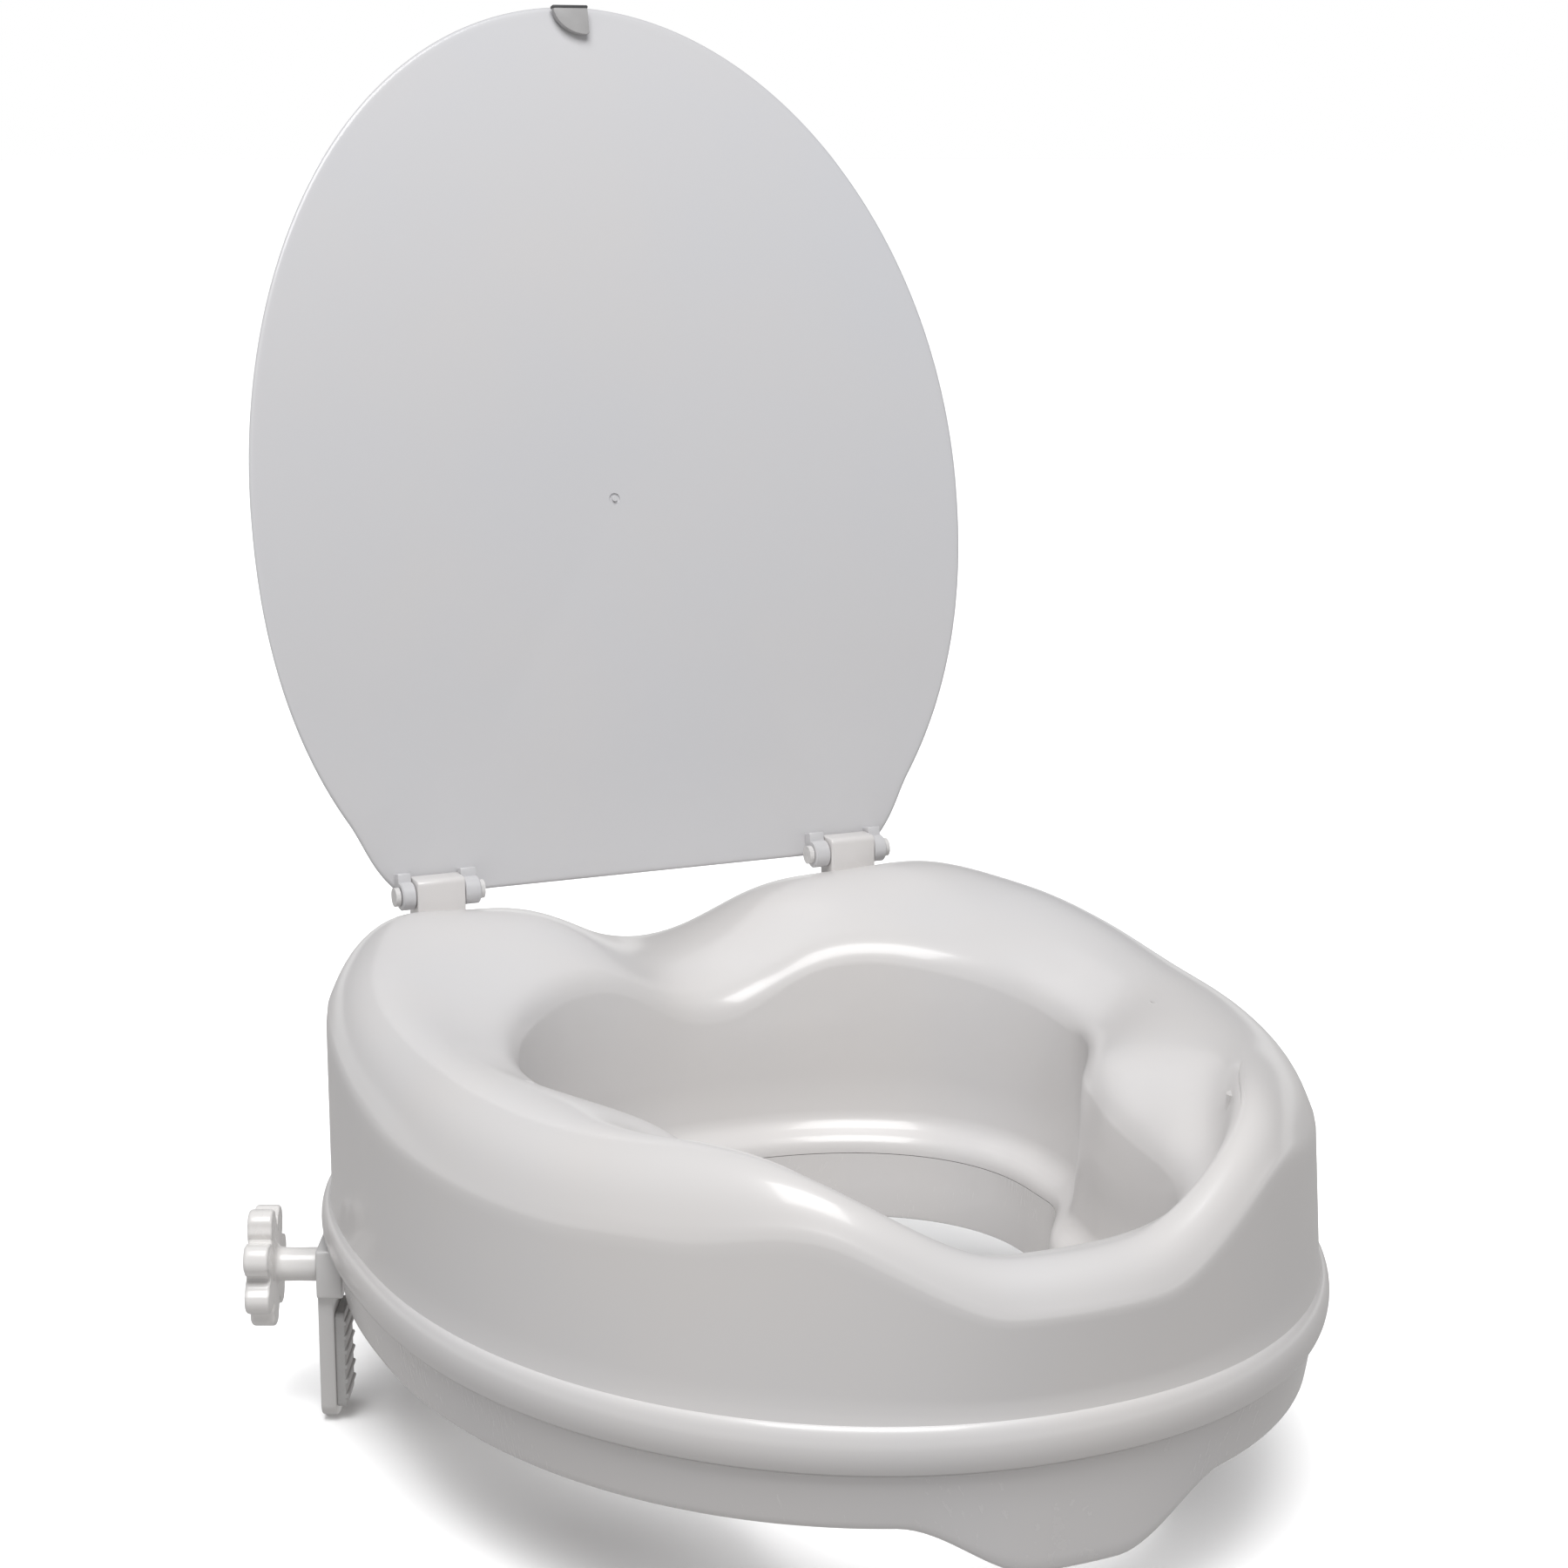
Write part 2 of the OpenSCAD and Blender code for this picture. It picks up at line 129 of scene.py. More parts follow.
def thigh(y):
    return 3 * ss((20 - y) / 60) + 2.5 * ss((-y - 100) / 45)


def fall(y):
    return np.minimum(LIP_FALL, DISH + 26 * np.maximum(0, (-y - 70) / 130) ** 1.2)


def crest(x, y, s):
    """Height of the sitting surface, s = 0 at the outer edge and 1 at the opening."""
    u = y / 200
    ax = np.abs(x)
    z = np.where(y < 100, SEAT_H + 14.3 * u + 18.7 * u * u, SEAT_H + 11.8 + 5 * ss((y - 100) / 50))
    z = z - 9.5 * ss((y - 145) / 35) * (1 - ss((ax - 100) / 32))
    z = z + 4.5 * ss((y - 148) / 30) * ss((ax - 112) / 30)
    rear_scoop = SCOOP_REAR * np.exp(-(ax / 42) ** 2.3) * ss((y - 72) / 55)
    return z - mix(scoop(x, y) - thigh(y), fall(y), s ** 1.4) - rear_scoop


def xyz(x, y, z):
    return np.stack(np.broadcast_arrays(x, y, z), -1).astype(float)


def top_pt(s, drop=0.0):
    (ax, ay), (bx, by) = outer(TS, 0, -shoulder(TS)), opening(TS, LIP_R)
    x, y = mix(ax, bx, s), mix(ay, by, s)
    return xyz(x, y, crest(x, y, s) - drop)


def lip_pt(r, a):
    bx, by = opening(TS, LIP_R)
    ex, ey = opening(TS, LIP_R - r * math.cos(a))
    return xyz(ex, ey, crest(bx, by, 1) - LIP_R + r * math.sin(a))


def edge_pt(cut, a):
    e = shoulder(TS)
    cx, cy = outer(TS, 0, -e)
    px, py = outer(TS, 0, -e + (e - cut) * math.cos(a))
    return xyz(px, py, crest(cx, cy, 0) - e + (e - cut) * math.sin(a))


def wall_pt(off, f, z0):
    e = shoulder(TS)
    cx, cy = outer(TS, 0, -e)
    px, py = outer(TS, f, off)
    return xyz(px, py, mix(crest(cx, cy, 0) - e, z0, f))


def flat_pt(off, z):
    return xyz(*outer(TS, 1, off), z)


def in_pt(off, z):
    return xyz(*opening(TS, off), z)


def bead_pt(a):
    return flat_pt(2.3 + BEAD_OUT * math.cos(a), BEAD_Z + 9.2 * math.sin(a))


def arc(a0, a1, n):
    return np.radians(np.linspace(a0, a1, n))


# ---------------------------------------------------------------- mesh helpers
def make(name, verts, faces):
    v = np.asarray(verts, float) * MM
    me = bpy.data.meshes.new(name)
    me.from_pydata(v.tolist(), [], [list(map(int, f)) for f in faces])
    bm = bmesh.new()
    bm.from_mesh(me)
    bmesh.ops.remove_doubles(bm, verts=bm.verts, dist=2e-6)
    bmesh.ops.recalc_face_normals(bm, faces=bm.faces)
    if bm.calc_volume(signed=True) < 0:
        bmesh.ops.reverse_faces(bm, faces=bm.faces)
    bm.to_mesh(me)
    bm.free()
    obj = bpy.data.objects.new(name, me)
    bpy.context.scene.collection.objects.link(obj)
    return obj


def smooth(obj, angle=38):
    me = obj.data
    me.polygons.foreach_set("use_smooth", [True] * len(me.polygons))
    me.set_sharp_from_angle(angle=math.radians(angle))
    me.update()


def loft(name, rows, closed=True, caps=False):
    """Rings of points joined into a skin; closed joins the last ring to the first."""
    pts = np.stack(rows)
    m, n = pts.shape[:2]
    faces = []
    for i in range(m if closed else m - 1):
        a, b = i * n, ((i + 1) % m) * n
        for j in range(n):
            k = (j + 1) % n
            faces.append((a + j, a + k, b + k, b + j))
    if caps:
        faces.append(tuple(range(n)))
        faces.append(tuple(range((m - 1) * n, m * n)))
    return make(name, pts.reshape(-1, 3), faces)


def relax(rings, steps=30):
    """Eases kinks out of a stack of rings, across and along them; the first and last ring stay."""
    p = np.stack(rings)
    for _ in range(steps):
        p[1:-1] = 0.25 * p[:-2] + 0.5 * p[1:-1] + 0.25 * p[2:]
        p[1:-1] = 0.25 * np.roll(p[1:-1], 1, 1) + 0.5 * p[1:-1] + 0.25 * np.roll(p[1:-1], -1, 1)
    return list(p)


def boolean(obj, other, op):
    """Joins or cuts obj with other, which is used up; the second solver is for meshes the first refuses."""
    for solver in ("MANIFOLD", "EXACT"):
        mod = obj.modifiers.new("cut", "BOOLEAN")
        mod.operation, mod.object, mod.solver = op, other, solver
        dg = bpy.context.evaluated_depsgraph_get()
        me = bpy.data.meshes.new_from_object(obj.evaluated_get(dg))
        obj.modifiers.remove(mod)
        if len(me.polygons) > 4:
            break
    old = obj.data
    obj.data = me
    me.name = old.name
    bpy.data.objects.remove(other, do_unlink=True)


def box(name, lo, hi, place):
    c = [(x, y, z) for x in (lo[0], hi[0]) for y in (lo[1], hi[1]) for z in (lo[2], hi[2])]
    f = [(0, 1, 3, 2), (4, 6, 7, 5), (0, 4, 5, 1), (2, 3, 7, 6), (0, 2, 6, 4), (1, 5, 7, 3)]
    return make(name, place(np.array(c, float)), f)


def cylinder(u0, u1, r):
    """Profile of a plain cylinder for lathe."""
    return [(u0, 0), (u0, r), (u1, r), (u1, 0)]


def lathe(name, profile, axis_fn, n=72):
    """profile: (along, radius) pairs, a radius of 0 closes the end; axis_fn places (along, a, b)."""
    rows, faces, verts = [], [], []
    turn = np.linspace(0, 2 * math.pi, n, endpoint=False)
    for u, r in profile:
        if r <= 1e-6:
            rows.append([len(verts)])
            verts.append((u, 0, 0))
        else:
            rows.append(list(range(len(verts), len(verts) + n)))
            verts += [(u, r * math.cos(a), r * math.sin(a)) for a in turn]
    loop = len(rows[0]) > 1
    for p, q in zip(rows, rows[1:] + ([rows[0]] if loop else [])):
        if len(p) == 1 and len(q) == 1:
            continue
        for j in range(n):
            k = (j + 1) % n
            if len(p) == 1:
                faces.append((p[0], q[j], q[k]))
            elif len(q) == 1:
                faces.append((p[j], p[k], q[0]))
            else:
                faces.append((p[j], p[k], q[k], q[j]))
    return make(name, axis_fn(np.array(verts)), faces)


def along_x(x, y, z):
    return lambda v: v + np.array([x, y, z], float)


def up_at(x, y, z):
    return lambda v: np.stack([v[:, 1] + x, v[:, 2] + y, v[:, 0] + z], -1)


def clamp_frame(side):
    """Clamp frame to world: x out along the screw, z up; side -1 is the left clamp."""
    c, s = math.cos(CLAMP_A), math.sin(CLAMP_A)

    def place(v):
        v = np.asarray(v, float)
        x = CLAMP_X + v[..., 0] * c - v[..., 1] * s
        y = CLAMP_Y + v[..., 0] * s + v[..., 1] * c
        return np.stack([side * x, y, v[..., 2] + CLAMP_Z], -1)
    return place


LEAN = math.radians(LID_LEAN)


def lid_place(v):
    """Lid frame to world: x across, y along the lid, z out of its outer face."""
    v = np.asarray(v, float)
    y, z = v[..., 1], v[..., 2]
    return np.stack([v[..., 0], HINGE_Y + y * math.sin(LEAN) + z * math.cos(LEAN),
                     HINGE_Z + y * math.cos(LEAN) - z * math.sin(LEAN)], -1)


def plate(name, outline, x0, x1, r, place, steps=4):
    """A plate of a convex (y, z) outline between x0 and x1, with rounded edges of radius r."""
    o = np.array(outline, float)
    nxt, prv = np.roll(o, -1, 0), np.roll(o, 1, 0)
    e1, e2 = nxt - o, o - prv
    e1 /= np.linalg.norm(e1, axis=1)[:, None]
    e2 /= np.linalg.norm(e2, axis=1)[:, None]
    area = 0.5 * np.sum(o[:, 0] * nxt[:, 1] - nxt[:, 0] * o[:, 1])
    sg = 1 if area > 0 else -1
    n1 = np.stack([e1[:, 1], -e1[:, 0]], -1) * sg
    n2 = np.stack([e2[:, 1], -e2[:, 0]], -1) * sg
    nn = n1 + n2
    nn /= np.maximum(1e-6, (nn * n1).sum(1))[:, None]
    rows = []
    quarter = np.linspace(0, math.pi / 2, steps)
    for x, sgn in ((x0, 1), (x1, -1)):
        # from the face (inset r) to the side (inset 0), and back at the other face
        part = [(x + sgn * r * (1 - math.cos(q)), r * (1 - math.sin(q))) for q in quarter[::sgn]]
        for px, inset in part:
            q = o - nn * inset
            rows.append(place(np.stack([np.full(len(o), px), q[:, 0], q[:, 1]], -1)))
    return loft(name, rows, closed=False, caps=True)


def rounded_rect(y0, y1, z0, z1, r, n=6):
    pts = []
    corners = ((y1 - r, z1 - r, 0), (y0 + r, z1 - r, 90), (y0 + r, z0 + r, 180), (y1 - r, z0 + r, 270))
    for cy, cz, a in corners:
        pts += [(cy + r * math.cos(q), cz + r * math.sin(q)) for q in np.radians(np.linspace(a, a + 90, n))]
    return pts


# ---------------------------------------------------------------- materials
# grey for random dirt blotches and for painted shade in the creases
GRIME_AND_SHADE = (0.5, 0.49, 0.46)


def nodes_of(name):
    m = bpy.data.materials.new(name)
    m.use_nodes = True
    nt = m.node_tree
    b = nt.nodes["Principled BSDF"]
    tc = nt.nodes.new("ShaderNodeTexCoord")
    return m, nt, b, tc


def noise(nt, tc, scale, detail=3.0, rough=0.55, stretch=None):
    n = nt.nodes.new("ShaderNodeTexNoise")
    n.inputs["Scale"].default_value = scale
    n.inputs["Detail"].default_value = detail
    n.inputs["Roughness"].default_value = rough
    if stretch:
        mp = nt.nodes.new("ShaderNodeMapping")
        mp.inputs["Scale"].default_value = stretch
        nt.links.new(tc.outputs["Object"], mp.inputs["Vector"])
        nt.links.new(mp.outputs["Vector"], n.inputs["Vector"])
    else:
        nt.links.new(tc.outputs["Object"], n.inputs["Vector"])
    return n.outputs["Fac"]


def span(nt, fac, lo, hi, a=0.3, b=0.7):
    """Maps fac from a..b to lo..hi."""
    r = nt.nodes.new("ShaderNodeMapRange")
    r.inputs["From Min"].default_value = a
    r.inputs["From Max"].default_value = b
    r.inputs["To Min"].default_value = lo
    r.inputs["To Max"].default_value = hi
    nt.links.new(fac, r.inputs["Value"])
    return r.outputs["Result"]


def blend(nt, fac, a, b):
    """Colour a where fac is 0 and b where it is 1."""
    m = nt.nodes.new("ShaderNodeMix")
    m.data_type = "RGBA"
    for sock, v in ((m.inputs[6], a), (m.inputs[7], b)):
        if isinstance(v, (tuple, list)):
            sock.default_value = (*v[:3], 1)
        else:
            nt.links.new(v, sock)
    nt.links.new(fac, m.inputs[0])
    return m.outputs[2]


def bump(nt, height, strength, distance, base=None):
    n = nt.nodes.new("ShaderNodeBump")
    n.inputs["Strength"].default_value = strength
    n.inputs["Distance"].default_value = distance
    nt.links.new(height, n.inputs["Height"])
    if base is not None:
        nt.links.new(base, n.inputs["Normal"])
    return n.outputs["Normal"]


def gloss_plastic(name, base, rough=(0.28, 0.33), wear_and_crease_shade=0.5, coat=(0.3, 0.09)):
    """Polished injection-moulded plastic: slow tone drift, soft orange peel, painted shade in the creases.
    """
    m, nt, b, tc = nodes_of(name)
    big = noise(nt, tc, 7.0, 3.0)
    patch = noise(nt, tc, 24.0, 3.0, 0.5)
    hair = noise(nt, tc, 150.0, 4.0, 0.6, (1.0, 9.0, 1.0))
    warm = tuple(min(1.0, c * k) for c, k in zip(base, (1.01, 0.998, 0.985)))
    cool = tuple(c * k for c, k in zip(base, (0.982, 0.987, 0.997)))
    col = blend(nt, span(nt, big, 0.0, 1.0), cool, warm)
    col = blend(nt, span(nt, patch, 0.0, 0.02, 0.3, 0.8), col, GRIME_AND_SHADE)
    geo = nt.nodes.new("ShaderNodeNewGeometry")
    # painted shade: concave creases, found by pointiness, are darkened toward the grey
    painted_crease_shade = span(nt, geo.outputs["Pointiness"], 0.22 * wear_and_crease_shade, 0.0, 0.40, 0.485)
    col = blend(nt, painted_crease_shade, col, GRIME_AND_SHADE)
    nt.links.new(col, b.inputs["Base Color"])
    add = nt.nodes.new("ShaderNodeMath")
    add.operation = "ADD"
    nt.links.new(span(nt, patch, rough[0], rough[1], 0.2, 0.8), add.inputs[0])
    nt.links.new(span(nt, hair, 0.0, 0.05 * wear_and_crease_shade, 0.5, 0.9), add.inputs[1])
    nt.links.new(add.outputs[0], b.inputs["Roughness"])
    peel = bump(nt, noise(nt, tc, 34.0, 2.0), 0.06, 0.0004)
    fine = bump(nt, noise(nt, tc, 700.0, 2.0), 0.035, 0.0001, peel)
    nt.links.new(fine, b.inputs["Normal"])
    b.inputs["IOR"].default_value = 1.49
    b.inputs["Coat Weight"].default_value = coat[0]
    b.inputs["Coat Roughness"].default_value = coat[1]
    return m


def satin_plastic(name, base):
    """Matt moulded plastic with a fine grain."""
    m, nt, b, tc = nodes_of(name)
    big, grain = noise(nt, tc, 30.0), noise(nt, tc, 1400.0, 3.0)
    light, dark = tuple(min(1, c * 1.08) for c in base), tuple(c * 0.9 for c in base)
    col = blend(nt, span(nt, big, 0.0, 1.0), dark, light)
    nt.links.new(col, b.inputs["Base Color"])
    nt.links.new(span(nt, big, 0.38, 0.55), b.inputs["Roughness"])
    nt.links.new(bump(nt, grain, 0.22, 0.00015), b.inputs["Normal"])
    return m


def rubber(name, base):
    """Dull rubber with a coarse grain and a little dust."""
    m, nt, b, tc = nodes_of(name)
    big, grain = noise(nt, tc, 45.0, 4.0), noise(nt, tc, 2200.0, 4.0, 0.7)
    col = blend(nt, span(nt, big, 0.0, 1.0), base, tuple(min(1, c * 1.12 + 0.01) for c in base))
    dust = noise(nt, tc, 320.0, 5.0, 0.75)
    col = blend(nt, span(nt, dust, 0.0, 0.25, 0.55, 0.8), col, (0.3, 0.295, 0.28))
    nt.links.new(col, b.inputs["Base Color"])
    nt.links.new(span(nt, big, 0.68, 0.88), b.inputs["Roughness"])
    nt.links.new(bump(nt, grain, 0.5, 0.0002), b.inputs["Normal"])
    return m


def steel(name, base, rough=(0.22, 0.4)):
    """Plated steel with fine brush streaks."""
    m, nt, b, tc = nodes_of(name)
    streak, big = noise(nt, tc, 260.0, 4.0, 0.6, (1, 1, 40)), noise(nt, tc, 60.0, 4.0)
    col = blend(nt, span(nt, big, 0.0, 1.0), tuple(c * 0.86 for c in base), base)
    nt.links.new(col, b.inputs["Base Color"])
    b.inputs["Metallic"].default_value = 1.0
    nt.links.new(span(nt, streak, rough[0], rough[1]), b.inputs["Roughness"])
    nt.links.new(bump(nt, streak, 0.12, 0.00008), b.inputs["Normal"])
    return m


WHITE = (0.75, 0.735, 0.728)
mat_shell = gloss_plastic("shell_white", WHITE)
mat_base = gloss_plastic("base_white", tuple(c * 0.985 for c in WHITE), (0.24, 0.28), 0.6)
# painted shade: the lid is the seat's white plastic, given a darker, cooler base colour
mat_lid = gloss_plastic("lid_white", (0.635, 0.635, 0.65), (0.38, 0.42), 0.3, coat=(0.4, 0.03))
mat_knob = gloss_plastic("knob_white", (0.86, 0.85, 0.84), (0.26, 0.32), 0.6)
mat_bracket = gloss_plastic("bracket_white", (0.70, 0.695, 0.69), (0.24, 0.36), 0.7)
mat_cap = gloss_plastic("cap_white", (0.74, 0.735, 0.73), (0.2, 0.32), 0.6)
mat_tab = satin_plastic("tab_grey", (0.42, 0.415, 0.415))
mat_tab_end = satin_plastic("tab_end_grey", (0.07, 0.07, 0.072))
mat_rubber = rubber("pad_rubber", (0.47, 0.465, 0.46))
mat_steel = steel("zinc_steel", (0.66, 0.66, 0.67))
mat_bright = steel("bright_steel", (0.72, 0.72, 0.73), (0.14, 0.28))
mat_dark = steel("spring_steel", (0.34, 0.34, 0.35), (0.3, 0.45))


def finish_piece(obj, body, slot, mat, *cad, angle=38):
    """Shades a piece, lets it ride on its body and stand for its CAD nodes."""
    smooth(obj, angle)
    obj.data.materials.clear()
    obj.data.materials.append(mat)
    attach(obj, body)
    if cad:
        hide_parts(*cad)


# ---------------------------------------------------------------- seat shell
rows = [bead_pt(a) for a in arc(-78, 80, 17)]
rows += [wall_pt(mix(0.6, 2.2, (f - 0.05) / 0.92), f, 44) for f in np.linspace(0.97, 0.06, 12)]
over = [edge_pt(0, a) for a in arc(0, 90, 15)]
over += [top_pt(s) for s in np.linspace(0, 1, 17)[1:-1]]
over += [lip_pt(LIP_R, a) for a in arc(90, 0, 13)]
rows += relax(over)
ledge = ((-1.6, 62), (-3.2, 45.5), (-3.9, 42.6), (-5.4, 40.2), (-7.6, 38), (-10, 36.1), (-11.8, 34.4),
         (-12.9, 32.5), (-13.4, 30.5), (-13.5, LINER_TOP + 0.3),
         (-9.8, LINER_TOP + 0.3), (-9.3, 33), (-0.4, 42))
rows += [in_pt(off, z) for off, z in ledge]
rows += [lip_pt(LIP_R - WALL, a) for a in arc(0, 90, 4)]
rows += [top_pt(0.5, WALL)]
rows += [edge_pt(WALL, a) for a in arc(90, 0, 5)]
rows += [wall_pt(2.3 - WALL, 0.97, 44), flat_pt(0.6, BEAD_Z + 2), flat_pt(-1.9, SPLIT_Z + 3.5),
         flat_pt(-1.9, SPLIT_Z)]
shell = loft("seat_shell_skin", rows)


def mid(t_deg):
    """Place of a boss: half way between the shoulder and the opening."""
    t = np.array([math.radians(t_deg)])
    (ax, ay), (bx, by) = outer(t, 0, -EDGE_R), opening(t, LIP_R)
    return float(mix(ax, bx, 0.5)[0]), float(mix(ay, by, 0.5)[0])


for t in BOSS_ANGLES:
    x, y = mid(t)
    part = 0.5 - (float(shoulder(math.radians(t))) - EDGE_R) / 70
    h = float(crest(np.array([x]), np.array([y]), part)[0]) - 1.9
    boolean(shell, lathe("boss", cylinder(7.3, h, 4.6), up_at(x, y, 0), 48), "UNION")
for s in (-1, 1):
    place = along_x(s * HINGE_X, HINGE_Y, HINGE_Z)
    block = rounded_rect(-6.4, 6.4, -13, 7.6, 2.5, 6)
    boolean(shell, plate("knuckle", block, -11, 11, 0.7, place, 4), "UNION")
    boolean(shell, lathe("bore", cylinder(-16, 16, PIN_BORE), place, 48), "DIFFERENCE")
for t in BOSS_ANGLES:
    x, y = mid(t)
    boolean(shell, lathe("pilot", cylinder(6, 28, 1.85), up_at(x, y, 0), 32), "DIFFERENCE")
finish_piece(shell, "seat", "shell_white", mat_shell, "seat_shell")


# ---------------------------------------------------------------- base ring with the apron lobe
def apron():
    """How far the lower rim drops into the front lobe."""
    x, y = outer(TS, 1, 0.0)
    return np.where(y > 0, 0.0, APRON * (1 - ss((np.abs(x) - 16) / 50)))


drop = apron()
rim = ((-2.6, 0), (-2.25, 0.35), (-1.8, 0.95), (-1.4, 1.8))
rows = [flat_pt(off, z - drop) for off, z in rim]
for f in np.linspace(0.15, 0.95, 8):
    rows.append(flat_pt(mix(-1.4, 0.3, f), mix(1.6 - drop, mix(12, 8, drop / 30), f)))
for f in (0.1, 0.35, 0.65, 0.9, 1.0):
    rows.append(flat_pt(mix(0.3, 1.7, f), mix(mix(12, 8, drop / 30), SPLIT_Z - 1.2, f)))
rows += [flat_pt(1.55, SPLIT_Z - 0.7), flat_pt(1.2, SPLIT_Z - 0.35), flat_pt(0.8, SPLIT_Z - 0.3),
         flat_pt(-2.3, SPLIT_Z - 0.3), flat_pt(-2.3, SPLIT_Z + 10), flat_pt(-5.3, SPLIT_Z + 10),
         flat_pt(-5.3, 3.2)]
liner = ((-10.4, 3.2), (-10.4, LINER_TOP), (-13.5, LINER_TOP), (-14.4, 16), (-15.6, 1.5), (-15.4, 0.5),
         (-14.6, 0))
rows += [in_pt(off, z) for off, z in liner]
rows += [flat_pt(-6.2, 0), flat_pt(-4.8, -drop - 0.01)]
base = loft("base_ring_skin", rows)
for t in BOSS_ANGLES:
    x, y = mid(t)
    foot = [(0.2, 0), (0.2, 7.5), (6.6, 7.5), (7, 7.1), (7, 0)]
    boolean(base, lathe("pad", foot, up_at(x, y, 0), 48), "UNION")
side_poly = np.stack(outer(TS[::4], 1, -3.4), -1)
corners = len(side_poly)
prism_faces = [tuple(range(corners)), tuple(range(corners, 2 * corners))]
for i in range(corners):
    k = (i + 1) % corners
    prism_faces.append((i, k, corners + k, corners + i))
houses = (((-27, -24, 0.2 - CLAMP_Z), (3, 24, 26.2 - CLAMP_Z)),
          ((-37, -11, 0.2 - CLAMP_Z), (-26, 11, 20.2 - CLAMP_Z)))
for s in (-1, 1):
    for low, high in houses:
        house = box("house", low, high, clamp_frame(s))
        prism = make("prism", [(x, y, z) for z in (-1, 32) for x, y in side_poly], prism_faces)
        boolean(house, prism, "INTERSECT")
        boolean(base, house, "UNION")
for t in BOSS_ANGLES:
    x, y = mid(t)
    boolean(base, lathe("sink", cylinder(-1, 3.6, 4.8), up_at(x, y, 0), 48), "DIFFERENCE")
    boolean(base, lathe("hole", cylinder(2, 10, 2.2), up_at(x, y, 0), 40), "DIFFERENCE")
for s in (-1, 1):
    place = clamp_frame(s)
    pocket_top = SPLIT_Z + 2.6 - CLAMP_Z
    boolean(base, box("pocket", (-24, -20, -CLAMP_Z - 30), (36, 20, pocket_top), place), "DIFFERENCE")
    boolean(base, lathe("screw_way", cylinder(-60, 0, 4.4), place, 48), "DIFFERENCE")
    boolean(base, lathe("nut_way", cylinder(-38, -30.6, 7.7), place, 6), "DIFFERENCE")
finish_piece(base, "seat", "base_white", mat_base, "base_ring")


# ---------------------------------------------------------------- lid
def lid_rim(t):
    x, y = se(t, LID_W, 205, LID_L - LID_C, 2.2, 2)
    s = LID_C + y
    return x * (1 + 0.055 * (1 - ss(s / 34))), np.maximum(s, -0.5)


def lid_face(y):
    return 7 - 14 * (1 - ((y - 195) / 196) ** 2)


def lid_surf(r, lift):
    x0, y0 = lid_rim(TS)
    x, y = x0 * r, LID_C + (y0 - LID_C) * r
    return xyz(x, y, lid_face(y) + LID_DOME * (1 - r * r) * (1 - 0.25 * r) + lift)


radii = [0.004] + list(np.linspace(0.03, 0.9, 26)) + [0.925, 0.945, 0.96, 0.972, 0.982]
rows = [lid_surf(r, 3.4 - 1.2 * (max(0, r - 0.93) / 0.07) ** 2) for r in radii]
for a in arc(90, -90, 9):
    rows.append(lid_surf(0.9905 + 0.0095 * math.cos(a), 1.15 + 1.15 * math.sin(a)))
rows += [lid_surf(r, 0.0) for r in radii[::-1]]
lid = loft("lid_skin", [lid_place(r) for r in rows], closed=False, caps=True)
for s in (-1, 1):
    for k0, k1 in ((81.4, 88.6), (111.4, 117.4)):
        a, b = (k0, k1) if s > 0 else (-k1, -k0)
        barrel = [(a, 0), (a, 5.7), (a + 0.5, KNUCKLE_R), (b - 0.5, KNUCKLE_R), (b, 5.7), (b, 0)]
        boolean(lid, lathe("lid_knuckle", barrel, lid_place, 72), "UNION")
        boolean(lid, plate("lid_web", rounded_rect(0, 10, 0, 9.4, 0.5, 3), a, b, 0.4, lid_place, 3), "UNION")
for s in (-1, 1):
    notch = box("notch", (s * HINGE_X - 11.4, -9, -9), (s * HINGE_X + 11.4, 7.5, 15), lid_place)
    boolean(lid, notch, "DIFFERENCE")
boolean(lid, lathe("lid_bore", cylinder(-125, 125, PIN_BORE), lid_place, 48), "DIFFERENCE")
GATE_Y = 0.43 * LID_L
gate_z = lid_face(GATE_Y) + LID_DOME


def at_gate(v):
    return lid_place(np.stack([v[:, 1], v[:, 2] + GATE_Y, v[:, 0]], -1))


dimple = cylinder(gate_z - 1.0, gate_z + 0.6, 2.6)
boolean(lid, lathe("gate_dimple", dimple, at_gate, 32), "DIFFERENCE")
stub = [(gate_z - 0.5, 0), (gate_z - 0.5, 1.1), (gate_z + 1.0, 1.3), (gate_z + 1.0, 0)]
boolean(lid, lathe("gate_stub", stub, at_gate, 24), "UNION")
finish_piece(lid, "lid", "lid_white", mat_lid, "lid", angle=42)

# lift tab: a curved grey gusset with a dark end
TAB_Y = LID_L - 15
tab_z = lid_face(LID_L - 8) - 3.9


def across_lid(v):
    return lid_place(np.stack([v[..., 1], v[..., 2] + TAB_Y, v[..., 0] + tab_z], -1))


tab_edge = [(8.5, 14.4), (-8.3, 14.4)]
tab_edge += [(8.0 - 16.3 * math.cos(a), 14.4 - 13.2 * math.sin(a)) for a in arc(12, 86, 9)]
tab_edge += [(8.5, 2.2)]
tab = plate("lid_lift_tab_skin", tab_edge, 0, 3.4, 0.6, across_lid, 3)
finish_piece(tab, "lid", "tab_grey", mat_tab, "lid_lift_tab")
end_edge = rounded_rect(-8.5, 8.5, 13.2, 14.6, 0.5, 3)
tab_end = plate("lid_lift_tab_end", end_edge, -0.2, 3.2, 0.3, across_lid, 3)
finish_piece(tab_end, "lid", "tab_grey", mat_tab_end)


